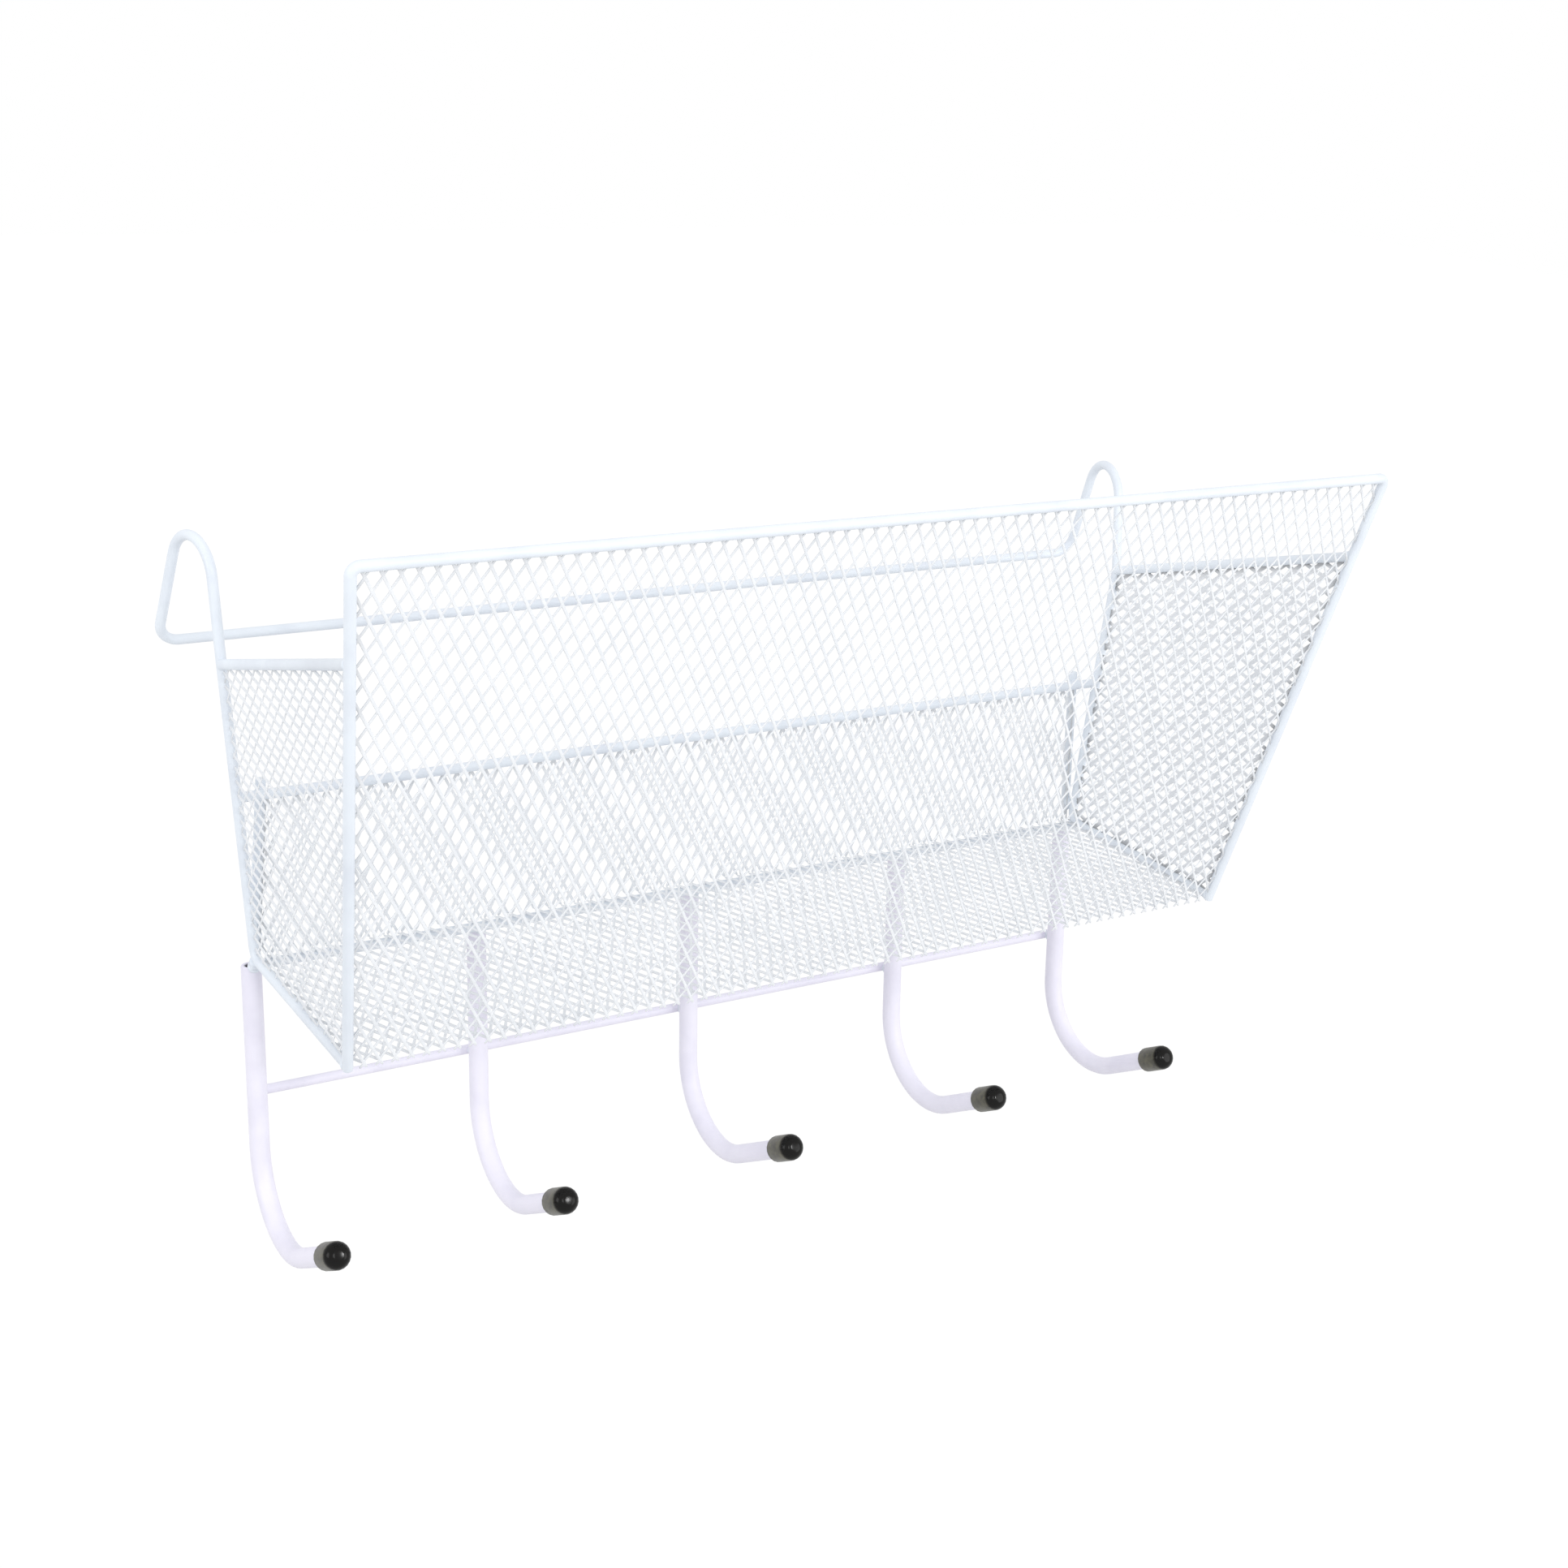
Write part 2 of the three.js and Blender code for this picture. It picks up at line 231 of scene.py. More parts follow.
@dataclass(frozen=True)
class PowderCoat:
    """White polyester powder, sprayed on steel and baked.

    The baked film is satin. It has a faint orange peel, is a little cooler and greyer where it lies
    thin, and its gloss wanders slightly from place to place. Along the wires of the sheet panels the
    colour is pulled towards bare steel: partly thinner film where the spray hardly reaches into the
    corner, partly painted shade in that corner. The spray does not reach into a tube, which stays
    bare and dark.
    """

    name: str
    full_film: str
    thin_film: str
    bare_steel_and_shade_tone: str = "#1A1918"
    slot: str = "powder_coat"
    film_ior: float = 1.5
    cloud_mm: float = 22.0
    cloud_detail: float = 3.0
    cloud_grit: float = 0.55
    tone_stops: tuple[float, float] = (0.28, 0.58)  # cloud values where the film is thin and full
    gloss_stops: tuple[float, float] = (0.3, 0.7)  # cloud values at the ends of the gloss range
    gloss_range: tuple[float, float] = (0.34, 0.5)
    peel_mm: float = 1.6  # real peel is about 0.6 mm, drawn coarser so that it shows
    peel_detail: float = 1.0
    peel_strength: float = 0.5
    peel_depth_mm: float = 0.05

    def material(self) -> bpy.types.Material:
        """Build the coat's material.

        Returns:
            The material, which is made once and then given again.
        """
        if self.name in bpy.data.materials:
            return bpy.data.materials[self.name]
        coat = new_material(self.name)
        tree = coat.node_tree
        place = add_node(tree, "ShaderNodeTexCoord").outputs["Object"]
        clouds = add_node(
            tree, "ShaderNodeTexNoise",
            {"Vector": place, "Scale": per_metre(self.cloud_mm),
             "Detail": self.cloud_detail, "Roughness": self.cloud_grit},
        ).outputs["Fac"]
        tone = add_node(tree, "ShaderNodeValToRGB", {"Fac": clouds})
        tones = (self.thin_film, self.full_film)
        for stop, position, code in zip(tone.color_ramp.elements, self.tone_stops, tones):
            stop.position = position
            stop.color = linear(code)
        bare = add_node(tree, "ShaderNodeAttribute", attribute_name=BARE_AND_SHADE_MARK)
        # Mixes towards bare steel in a tube's bore, and as painted shade along the wires of the sheet
        # panels.
        surface = add_node(
            tree, "ShaderNodeMixRGB",
            {"Fac": bare.outputs["Fac"], "Color1": tone.outputs["Color"],
             "Color2": linear(self.bare_steel_and_shade_tone)},
        )
        peel = add_node(
            tree, "ShaderNodeTexNoise",
            {"Vector": place, "Scale": per_metre(self.peel_mm), "Detail": self.peel_detail},
        )
        gloss = add_node(
            tree, "ShaderNodeMapRange",
            {"Value": clouds, "From Min": self.gloss_stops[0], "From Max": self.gloss_stops[1],
             "To Min": self.gloss_range[0], "To Max": self.gloss_range[1]},
        )
        relief = add_node(
            tree, "ShaderNodeBump",
            {"Height": peel.outputs["Fac"], "Strength": self.peel_strength,
             "Distance": self.peel_depth_mm * MM},
        )
        film = add_node(
            tree, "ShaderNodeBsdfPrincipled",
            {"Base Color": surface.outputs["Color"], "Roughness": gloss.outputs["Result"],
             "Normal": relief.outputs["Normal"], "IOR": self.film_ior},
        )
        add_node(tree, "ShaderNodeOutputMaterial", {"Surface": film.outputs["BSDF"]})
        return coat


@dataclass(frozen=True)
class DippedVinyl:
    """Black PVC, dip-moulded into a push-on cap.

    The skin is soft and brown-black, with slow ripples from the dip and random scuffs on the side
    wall. The domed end is painted darker and mirrors less, as painted shade from the dark surroundings
    it would reflect; the side wall is duller, painted paler and mirrors more, as painted light.
    """

    name: str = "black_dip_moulded_pvc"
    slot: str = "cap_vinyl"
    dome_mark: str = "dome"  # vertex attribute that rises from 0 on the wall to 1 on the dome
    # One vinyl in two tones: the dome's dark tone is painted shade, the wall's paler tones are painted
    # light.
    shaded_dome_tone: str = "#100F0E"
    lit_wall_tone: str = "#2D2B20"
    rubbed_lit_wall_tone: str = "#504D3A"
    dome_gloss: float = 0.16
    wall_gloss: float = 0.38
    # The dome's low mirror level paints its reflection darker; the wall's higher one is a painted
    # reflection.
    shaded_dome_mirror: float = 0.15
    lit_wall_mirror: float = 0.5
    vinyl_ior: float = 1.53
    scuff_mm: float = 2.4
    scuff_detail: float = 4.0
    scuff_grit: float = 0.6
    scuff_stops: tuple[float, float] = (0.35, 0.65)  # scuff values where the wall is whole and rubbed
    ripple_mm: float = 5.0
    ripple_detail: float = 0.0
    ripple_strength: float = 0.6
    ripple_depth_mm: float = 0.12

    def material(self) -> bpy.types.Material:
        """Build the vinyl's material.

        Returns:
            The material, which is made once and then given again.
        """
        if self.name in bpy.data.materials:
            return bpy.data.materials[self.name]
        vinyl = new_material(self.name)
        tree = vinyl.node_tree
        place = add_node(tree, "ShaderNodeTexCoord").outputs["Object"]
        scuffs = add_node(
            tree, "ShaderNodeTexNoise",
            {"Vector": place, "Scale": per_metre(self.scuff_mm),
             "Detail": self.scuff_detail, "Roughness": self.scuff_grit},
        )
        # The wall's paler tones are painted light, with random scuffs between them.
        wall = add_node(tree, "ShaderNodeValToRGB", {"Fac": scuffs.outputs["Fac"]})
        tones = (self.lit_wall_tone, self.rubbed_lit_wall_tone)
        for stop, position, code in zip(wall.color_ramp.elements, self.scuff_stops, tones):
            stop.position = position
            stop.color = linear(code)
        dome = add_node(tree, "ShaderNodeAttribute", attribute_name=self.dome_mark).outputs["Fac"]
        # From the wall to the dome: from painted light to painted shade.
        tone = add_node(
            tree, "ShaderNodeMixRGB",
            {"Fac": dome, "Color1": wall.outputs["Color"], "Color2": linear(self.shaded_dome_tone)},
        )
        gloss, mirror = (
            add_node(tree, "ShaderNodeMapRange", {"Value": dome, "To Min": on_wall, "To Max": on_dome})
            for on_wall, on_dome in (
                (self.wall_gloss, self.dome_gloss), (self.lit_wall_mirror, self.shaded_dome_mirror)
            )
        )
        ripples = add_node(
            tree, "ShaderNodeTexNoise",
            {"Vector": place, "Scale": per_metre(self.ripple_mm), "Detail": self.ripple_detail},
        )
        relief = add_node(
            tree, "ShaderNodeBump",
            {"Height": ripples.outputs["Fac"], "Strength": self.ripple_strength,
             "Distance": self.ripple_depth_mm * MM},
        )
        skin = add_node(
            tree, "ShaderNodeBsdfPrincipled",
            {"Base Color": tone.outputs["Color"], "Roughness": gloss.outputs["Result"],
             "Normal": relief.outputs["Normal"], "IOR": self.vinyl_ior,
             "Specular IOR Level": mirror.outputs["Result"]},
        )
        add_node(tree, "ShaderNodeOutputMaterial", {"Surface": skin.outputs["BSDF"]})
        return vinyl


Finish = PowderCoat | DippedVinyl


@dataclass(frozen=True)
class BasketLayout:
    """Driving sizes in millimetres and the points that follow from them.

    The layout has the floor wires at height 0, the plane of the back uprights at y 0 and the front
    towards -y.
    """

    wire: float = 4.0
    tube: float = 8.0
    tube_wall: float = 1.5
    seam: float = 0.3
    floor_width: float = 396.0
    floor_depth: float = 99.0
    top_flare: float = 17.0
    front_slope: float = 202.0
    front_lean: float = math.radians(14.3)
    end_rail_share: float = 0.827
    end_back_height: float = 120.0
    back_height: float = 67.0
    hanger_depth: float = 48.0
    hanger_splay: float = 9.6
    crossbar_drop: float = 4.0
    arch_rise: float = 44.0
    arch_share: float = 0.41
    arch_bend: float = 15.0
    floor_bend: float = 5.0

    @property
    def flare(self) -> float:
        """Outward run of an end per millimetre of height."""
        return self.top_flare / (self.front_slope * math.cos(self.front_lean))

    @property
    def rail_height(self) -> float:
        """Height of the back floor rail, which lies against the outside of the floor bends."""
        reach = self.floor_bend + self.wire + self.seam
        return self.floor_bend - math.sqrt(reach**2 - self.floor_bend**2)

    @property
    def hanger_run(self) -> float:
        """Level way from an upright to its end of the crossbar."""
        return math.hypot(self.hanger_depth, self.hanger_splay)

    def on_end(self, side: Side, y: float, z: float) -> Vector:
        """Give a point in the flared plane of one end."""
        return Vector((side.value * (self.floor_width / 2 + self.flare * z), y, z))

    def up_front(self, side: Side, distance: float) -> Vector:
        """Give the point this far up a front post from the floor."""
        forward = self.floor_depth + distance * math.sin(self.front_lean)
        return self.on_end(side, -forward, distance * math.cos(self.front_lean))

    def rail_end(self, side: Side) -> Vector:
        """Give the point on a front post where the end rail meets it."""
        return self.up_front(side, self.front_slope * self.end_rail_share)

    def on_hanger(self, side: Side, reach: float, height: float) -> Vector:
        """Give a point in the splayed plane of one arch.

        Args:
            side: End of the basket.
            reach: Level way back from the upright.
            height: Height above the floor wires.

        Returns:
            The point.
        """
        splay = math.atan2(self.hanger_splay, self.hanger_depth)
        shoulder = self.on_end(side, 0, self.end_back_height)
        away = Vector((side.value * math.sin(splay), math.cos(splay), 0)) * reach
        return Vector((shoulder.x, shoulder.y, height)) + away

    def crossbar_end(self, side: Side) -> Vector:
        """Give the corner between an arch and the crossbar."""
        return self.on_hanger(side, self.hanger_run, self.end_back_height - self.crossbar_drop)

    def arch_peak(self, side: Side) -> Vector:
        """Give the sharp corner that the top of an arch rounds off.

        Args:
            side: End of the basket.

        Returns:
            The meeting point of the two tangents from the shoulder and the crossbar to the arch's circle.
        """
        full = self.hanger_run
        middle_height = self.end_back_height + self.arch_rise - self.arch_bend
        centre = Vector((full * self.arch_share, middle_height, 0))
        lines = []
        for foot, turn in ((self.end_back_height, 1), (self.end_back_height - self.crossbar_drop, -1)):
            start = Vector((0 if turn > 0 else full, foot, 0))
            run = centre - start
            angle = math.atan2(run.y, run.x) + turn * math.asin(self.arch_bend / run.length)
            lines += [start, start + Vector((math.cos(angle), math.sin(angle), 0))]
        meet = geometry.intersect_line_line(*lines)[0]
        return self.on_hanger(side, meet.x, meet.y)

    def butt_setback(self, along: Vector, across: Vector) -> float:
        """Give the distance from a wire's axis back to the end of a wire that butts against it."""
        return (self.wire / 2 + self.seam) / math.sin(along.angle(across))

    def place(self) -> Matrix:
        """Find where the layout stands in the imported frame, from the back rail.

        Returns:
            The move from the layout, in millimetres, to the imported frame.
        """
        low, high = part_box("back_rail")
        centre = (Vector(low) + Vector(high)) / 2
        shift = centre - Vector((0, 0, self.back_height)) * MM
        return Matrix.Translation(shift) @ Matrix.Scale(MM, 4)


@dataclass
class Bench:
    """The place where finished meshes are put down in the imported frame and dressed."""

    place: Matrix

    def put_down(self, mesh: BMesh, name: str, finish: Finish, *nodes: str) -> None:
        """Turn a mesh into a finished piece.

        Args:
            mesh: Shape in layout millimetres; it is used up.
            name: Name of the new piece.
            finish: Finish that dresses it.
            *nodes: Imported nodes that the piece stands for.
        """
        piece = mesh_object(moved(mesh, self.place), name, finish.material())
        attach(piece, "root")
        if nodes:
            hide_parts(*nodes)
        faces = len(piece.data.polygons)
        log.info("%s: %d faces, stands for %s", name, faces, ", ".join(nodes) or "no node")


class BentRod:
    """Round stock that is run out straight, bent round formers and finished at both ends."""

    SIDES = 20
    BEND_STEP = math.radians(5)
    LEAST_STEPS = 2
    CUT_ROUNDING = 0.5
    CUT_SEGMENTS = 3
    WELD_STEPS = ((0.5, 1.12), (0.6, 1.05), (0.6, 0.94), (0.4, 0.72))  # way out and growth of each rim
    MOUTH_STEPS = (1.2, 14.0)  # way in over which the film runs out, and on to the bottom of the bore

    def __init__(self, diameter: float, corners: list[Vector], bends: list[float]) -> None:
        """Form the rod along its corners.

        Args:
            diameter: Outside diameter of the stock.
            corners: Start, each sharp corner of the route, and end.
            bends: Radius of the bend at each corner between them.
        """
        self.mesh = bmesh.new()
        heading = (corners[1] - corners[0]).normalized()
        self.back = -heading
        turned = Matrix.Translation(corners[0]) @ heading.to_track_quat("Z", "Y").to_matrix().to_4x4()
        bmesh.ops.create_circle(self.mesh, segments=self.SIDES, radius=diameter / 2, matrix=turned)
        self.near = self.mesh.edges[:]
        self.far = self.near
        at = corners[0]
        for before, corner, after, radius in zip(corners, corners[1:], corners[2:], bends):
            heading = (corner - before).normalized()
            onward = (after - corner).normalized()
            turn = heading.angle(onward)
            bend_start = corner - heading * radius * math.tan(turn / 2)
            self.far = self.extend(self.far, bend_start - at)
            self.bend(bend_start, heading, onward, radius)
            at = corner + onward * radius * math.tan(turn / 2)
            heading = onward
        self.front = heading
        self.far = self.extend(self.far, corners[-1] - at)

    @classmethod
    def straight(cls, diameter: float, start: Vector, end: Vector, finish: WireEnd = WireEnd.CUT) -> BMesh:
        """Cut a straight rod with the same finish at both ends."""
        return cls(diameter, [start, end], []).finished(finish, finish)

    def extend(self, rim: list[BMEdge], shift: Vector, growth: float = 1.0) -> list[BMEdge]:
        """Extrude a rim into a new one.

        Args:
            rim: Edges of an open end.
            shift: Way from the rim to the new one.
            growth: Diameter of the new rim as a share of the old.

        Returns:
            Edges of the new rim.
        """
        made = bmesh.ops.extrude_edge_only(self.mesh, edges=rim)["geom"]
        verts = only(BMVert, made)
        bmesh.ops.translate(self.mesh, verts=verts, vec=shift)
        centre = sum((vert.co for vert in verts), Vector()) / len(verts)
        bmesh.ops.scale(self.mesh, verts=verts, vec=(growth,) * 3, space=Matrix.Translation(-centre))
        ahead = set(verts)
        return [edge for edge in only(BMEdge, made) if ahead.issuperset(edge.verts)]

    def bend(self, start: Vector, heading: Vector, onward: Vector, radius: float) -> None:
        """Spin the far rim round a former.

        Args:
            start: Point on the axis where the bend starts.
            heading: Direction before the bend.
            onward: Direction after it.
            radius: Radius of the bend along the axis.
        """
        axis = heading.cross(onward).normalized()
        turn = heading.angle(onward)
        made = bmesh.ops.spin(
            self.mesh, geom=[*rim_verts(self.far), *self.far],
            cent=start + axis.cross(heading) * radius, axis=axis, angle=turn,
            steps=max(self.LEAST_STEPS, math.ceil(turn / self.BEND_STEP)), use_duplicate=False,
        )["geom_last"]
        self.far = only(BMEdge, made)

    def close(self, rim: list[BMEdge], outward: Vector, end: WireEnd, wall: float = 0.0) -> None:
        """Finish one end.

        Args:
            rim: Edges of the open end.
            outward: Direction out of the end.
            end: How it is finished.
            wall: Wall thickness of a tube's mouth.
        """
        if end is WireEnd.WELD:
            for advance, growth in self.WELD_STEPS:
                rim = self.extend(rim, outward * advance, growth)
        face = bmesh.ops.edgeloop_fill(self.mesh, edges=rim)["faces"][0]
        if end is WireEnd.MOUTH:
            bmesh.ops.inset_region(self.mesh, faces=[face], thickness=wall, use_even_offset=True)
            rim = [*rim, *face.edges]
            bare = self.mesh.verts.layers.float.new(BARE_AND_SHADE_MARK)
            for depth in self.MOUTH_STEPS:
                face = bmesh.ops.extrude_discrete_faces(self.mesh, faces=[face])["faces"][0]
                bmesh.ops.translate(self.mesh, verts=face.verts[:], vec=-outward * depth)
                for vert in face.verts:
                    vert[bare] = 1.0
        if end is not WireEnd.WELD:
            bmesh.ops.bevel(
                self.mesh, geom=[edge for edge in rim if edge.is_valid], offset=self.CUT_ROUNDING,
                segments=self.CUT_SEGMENTS, profile=0.5, affect="EDGES", material=-1,
            )

    def finished(self, near: WireEnd, far: WireEnd, wall: float = 0.0) -> BMesh:
        """Close both ends and give the finished mesh.

        Args:
            near: Finish of the end that the rod starts from.
            far: Finish of the other end.
            wall: Wall thickness of a tube's mouth.

        Returns:
            The mesh, in layout millimetres.
        """
        self.close(self.near, self.back, near, wall)
        self.close(self.far, self.front, far, wall)
        soften(self.mesh)
        return self.mesh


@dataclass
class WireFrame:
    """The hanger, the front hoop and the short wires that tie them together."""

    layout: BasketLayout
    coat: PowderCoat
    shoulder_bend: float = 30.0
    crossbar_bend: float = 8.0
    front_bend: float = 3.0
    post_foot_height: float = 4.0
    post_foot_inset: float = 1.5
    post_top_inset: float = 10.5
    post_overrun: float = 5.0

    def post_line(self, side: Side) -> Vector:
        """Give the direction of a front post."""
        return self.layout.up_front(side, 1) - self.layout.up_front(side, 0)

    def upright_line(self, side: Side) -> Vector:
        """Give the direction of a back upright."""
        return self.layout.on_end(side, 0, 1) - self.layout.on_end(side, 0, 0)

    def hanger_half(self, side: Side) -> list[Vector]:
        """Lay out half of the hanger.

        Args:
            side: End of the basket.

        Returns:
            The corners on that side, from the floor wire's end to the crossbar.
        """
        plan = self.layout
        floor_end = plan.floor_depth - plan.butt_setback(BACKWARD, self.post_line(side))
        return [
            plan.on_end(side, -floor_end, 0),
            plan.on_end(side, 0, 0),
            plan.on_end(side, 0, plan.end_back_height),
            plan.arch_peak(side),
            plan.crossbar_end(side),
        ]

    def hanger(self) -> BMesh:
        """Bend the hanger from one wire.

        Returns:
            Its mesh.
        """
        plan = self.layout
        bends = [plan.floor_bend, self.shoulder_bend, plan.arch_bend, self.crossbar_bend]
        route = [*self.hanger_half(Side.LEFT), *reversed(self.hanger_half(Side.RIGHT))]
        rod = BentRod(plan.wire, route, [*bends, *reversed(bends)])
        return rod.finished(WireEnd.WELD, WireEnd.WELD)

    def front_hoop(self) -> BMesh:
        """Bend the two front posts and the top rail from one wire.

        Returns:
            Its mesh.
        """
        plan = self.layout
        foot = -plan.wire / 2
        stops = [(Side.LEFT, foot), (Side.LEFT, plan.front_slope)]
        stops += [(Side.RIGHT, plan.front_slope), (Side.RIGHT, foot)]
        route = [plan.up_front(side, distance) for side, distance in stops]
        return BentRod(plan.wire, route, [self.front_bend] * 2).finished(WireEnd.CUT, WireEnd.CUT)

    def butted(self, start: Vector, end: Vector, start_line: Vector, end_line: Vector) -> BMesh:
        """Cut a straight wire between two others and weld it to them.

        Args:
            start: Point on the axis of the wire that it starts from.
            end: Point on the axis of the wire that it ends at.
            start_line: Direction of the first of these wires.
            end_line: Direction of the second.

        Returns:
            The welded wire.
        """
        plan = self.layout
        along = (end - start).normalized()
        near = start + along * plan.butt_setback(along, start_line)
        far = end - along * plan.butt_setback(along, end_line)
        return BentRod.straight(plan.wire, near, far, WireEnd.WELD)

    def end_rail(self, side: Side) -> BMesh:
        """Cut the sloping rail between an upright and a front post."""
        back = self.layout.on_end(side, 0, self.layout.end_back_height)
        return self.butted(back, self.layout.rail_end(side), self.upright_line(side), self.post_line(side))

    def back_rail(self) -> BMesh:
        """Cut the rail between the two uprights."""
        ends = [self.layout.on_end(side, 0, self.layout.back_height) for side in Side]
        return self.butted(*ends, *[self.upright_line(side) for side in Side])

    def on_post(self, side: Side, z: float) -> Vector:
        """Give a point on the axis of a back post, which leans in behind the upright.

        Args:
            side: End of the basket.
            z: Height of the point.

        Returns:
            The point.
        """
        plan = self.layout
        climb = (z - self.post_foot_height) / (plan.back_height - self.post_foot_height)
        foot = plan.on_end(Side.RIGHT, 0, self.post_foot_height).x - self.post_foot_inset
        top = plan.on_end(Side.RIGHT, 0, plan.back_height).x - self.post_top_inset
        return Vector((side.value * (foot + (top - foot) * climb), plan.wire + plan.seam, z))

    def back_post(self, side: Side) -> BMesh:
        """Cut a short post that laps behind an upright and the back rail."""
        heights = (self.post_foot_height, self.layout.back_height + self.post_overrun)
        return BentRod.straight(self.layout.wire, *[self.on_post(side, z) for z in heights])

    def floor_rail(self) -> BMesh:
        """Cut the rail under the rear edge of the floor.

        Returns:
            Its mesh.
        """
        plan = self.layout
        half = ALONG * (plan.floor_width + plan.wire) / 2
        middle = UP * plan.rail_height
        return BentRod.straight(plan.wire, middle - half, middle + half)

    def build(self, bench: Bench) -> None:
        """Make every wire of the frame and put it down.

        Args:
            bench: Where the pieces go.
        """
        bench.put_down(self.hanger(), "coated_hanger_wire", self.coat, "hanger_wire")
        bench.put_down(self.front_hoop(), "coated_front_hoop", self.coat, "front_frame")
        bench.put_down(self.back_rail(), "coated_back_rail", self.coat, "back_rail")
        bench.put_down(self.floor_rail(), "coated_floor_rail", self.coat, "back_floor_rail")
        for side in Side:
            word = side.name.lower()
            bench.put_down(self.end_rail(side), f"coated_{word}_end_rail", self.coat, f"{word}_end_rail")
            bench.put_down(self.back_post(side), f"coated_{word}_post", self.coat, f"{word}_back_post")


@dataclass(frozen=True)
class ExpandedSheet:
    """Steel sheet that is slit and stretched into diamonds, with its strands tipped like louvres."""

    short_way: float = 6.0
    long_way: float = 11.0
    strand: float = 1.05
    gauge: float = 0.6
    louvre: float = math.radians(14)
    least_hole: float = 0.7  # inner radius, in strands, under which a trimmed diamond stays solid
    rim_angle: float = math.radians(50)
    rounding: float = 0.14
    shade_angle: float = math.radians(70)
    trim_slack: float = 0.01
    thin_film_and_shade_reach: float = 4.0  # from a panel's edge, where the film is thinnest and the painted shade darkest, to where both end
    # How far the colour is pulled towards bare steel at a wire: partly thin film, partly painted shade.
    thin_film_and_shade_share: float = 0.34

    def lattice(self, outline: list[Vector], phase: Vector) -> BMesh:
        """Lay out whole diamonds and trim them to an outline.

        Args:
            outline: Corners of the panel, anticlockwise, on its own flat.
            phase: A point where strands cross.

        Returns:
            A flat mesh with a face for each diamond or part of one.
        """
        ways = [p - phase for p in outline]
        span = max(abs(way.x) / self.short_way + abs(way.y) / self.long_way for way in ways)
        cells = 2 * math.ceil(span)
        mesh = bmesh.new()
        # Each square is 1 from corner to corner, so the stretch gives a diamond its two widths.
        bmesh.ops.create_grid(mesh, x_segments=cells, y_segments=cells, size=cells / math.sqrt(8))
        stretch = Matrix.Diagonal((self.short_way, self.long_way, 1, 1))
        moved(mesh, Matrix.Translation(phase) @ stretch @ Matrix.Rotation(QUARTER_TURN / 2, 4, "Z"))
        for corner, after in sides(outline):
            bmesh.ops.bisect_plane(
                mesh, geom=[*mesh.verts, *mesh.edges, *mesh.faces], dist=self.trim_slack,
                clear_outer=True, plane_co=corner, plane_no=(after - corner).cross(UP),
            )
        return mesh

    def fold_strips(self, mesh: BMesh, outline: list[Vector], folds: tuple[int, ...]) -> set[BMFace]:
        """Find the strips that the trimmed layout leaves along folds, where real strands just run on.

        Args:
            mesh: The flat panel with its holes set in.
            outline: Corners of the panel, anticlockwise.
            folds: Numbers of the edges that are folded.

        Returns:
            The faces of the strips.
        """
        strips = set()
        for number in folds:
            start, end = sides(outline)[number]
            across = inward(start, end)
            for edge in mesh.edges:
                gaps = [abs((vert.co - start).dot(across)) for vert in edge.verts]
                if edge.is_boundary and max(gaps) < self.trim_slack:
                    strips.update(edge.link_faces)
        return strips

    def thin_film(self, mesh: BMesh, outline: list[Vector], folds: tuple[int, ...]) -> None:
        """Darken the panel towards bare steel along the wires: partly thin film where the spray hardly
        reaches into the corner, partly painted shade in that corner.

        Args:
            mesh: The panel, still on its own flat.
            outline: Corners of the panel, anticlockwise.
            folds: Numbers of the edges that go on round a fold instead of ending at a wire.
        """
        bare = mesh.verts.layers.float.new(BARE_AND_SHADE_MARK)
        for number, (start, end) in enumerate(sides(outline)):
            if number in folds:
                continue
            across = inward(start, end)
            for vert in mesh.verts:
                gap = (vert.co - start).dot(across)
                vert[bare] = max(vert[bare], self.thin_film_and_shade_share * (1 - gap / self.thin_film_and_shade_reach))

    def cut(self, outline: list[Vector], phase: Vector, tip: Tip, folds: tuple[int, ...] = ()) -> BMesh:
        """Cut a panel of expanded metal to an outline.

        Args:
            outline: Corners of the panel, anticlockwise, on its own flat.
            phase: A point where strands cross.
            tip: Which way the strands are tipped.
            folds: Numbers of the edges that go on round a fold.

        Returns:
            The panel, centred on its flat, with its front along +z.
        """
        mesh = self.lattice(outline, phase)
        least = self.least_hole * self.strand
        roomy = [face for face in mesh.faces if 2 * face.calc_area() > least * face.calc_perimeter()]
        bmesh.ops.inset_individual(mesh, faces=roomy, thickness=self.strand / 2, use_even_offset=True)
        turn = Matrix.Rotation(tip.value * self.louvre, 3, "Y")
        for face in roomy:
            bmesh.ops.rotate(mesh, verts=face.verts[:], cent=face.calc_center_median(), matrix=turn)
        strips = self.fold_strips(mesh, outline, folds)
        bmesh.ops.delete(mesh, geom=[*roomy, *strips], context="FACES")
        bmesh.ops.translate(mesh, verts=mesh.verts[:], vec=-UP * self.gauge / 2)
        raised = bmesh.ops.extrude_face_region(mesh, geom=mesh.faces[:])["geom"]
        bmesh.ops.translate(mesh, verts=only(BMVert, raised), vec=UP * self.gauge)
        bmesh.ops.recalc_face_normals(mesh, faces=mesh.faces[:])
        rims = [edge for edge in mesh.edges if edge.calc_face_angle(0) > self.rim_angle]
        bmesh.ops.bevel(
            mesh, geom=rims, offset=self.rounding, segments=1, profile=0.5, affect="EDGES", material=-1
        )
        soften(mesh, self.shade_angle)
        self.thin_film(mesh, outline, folds)
        return mesh


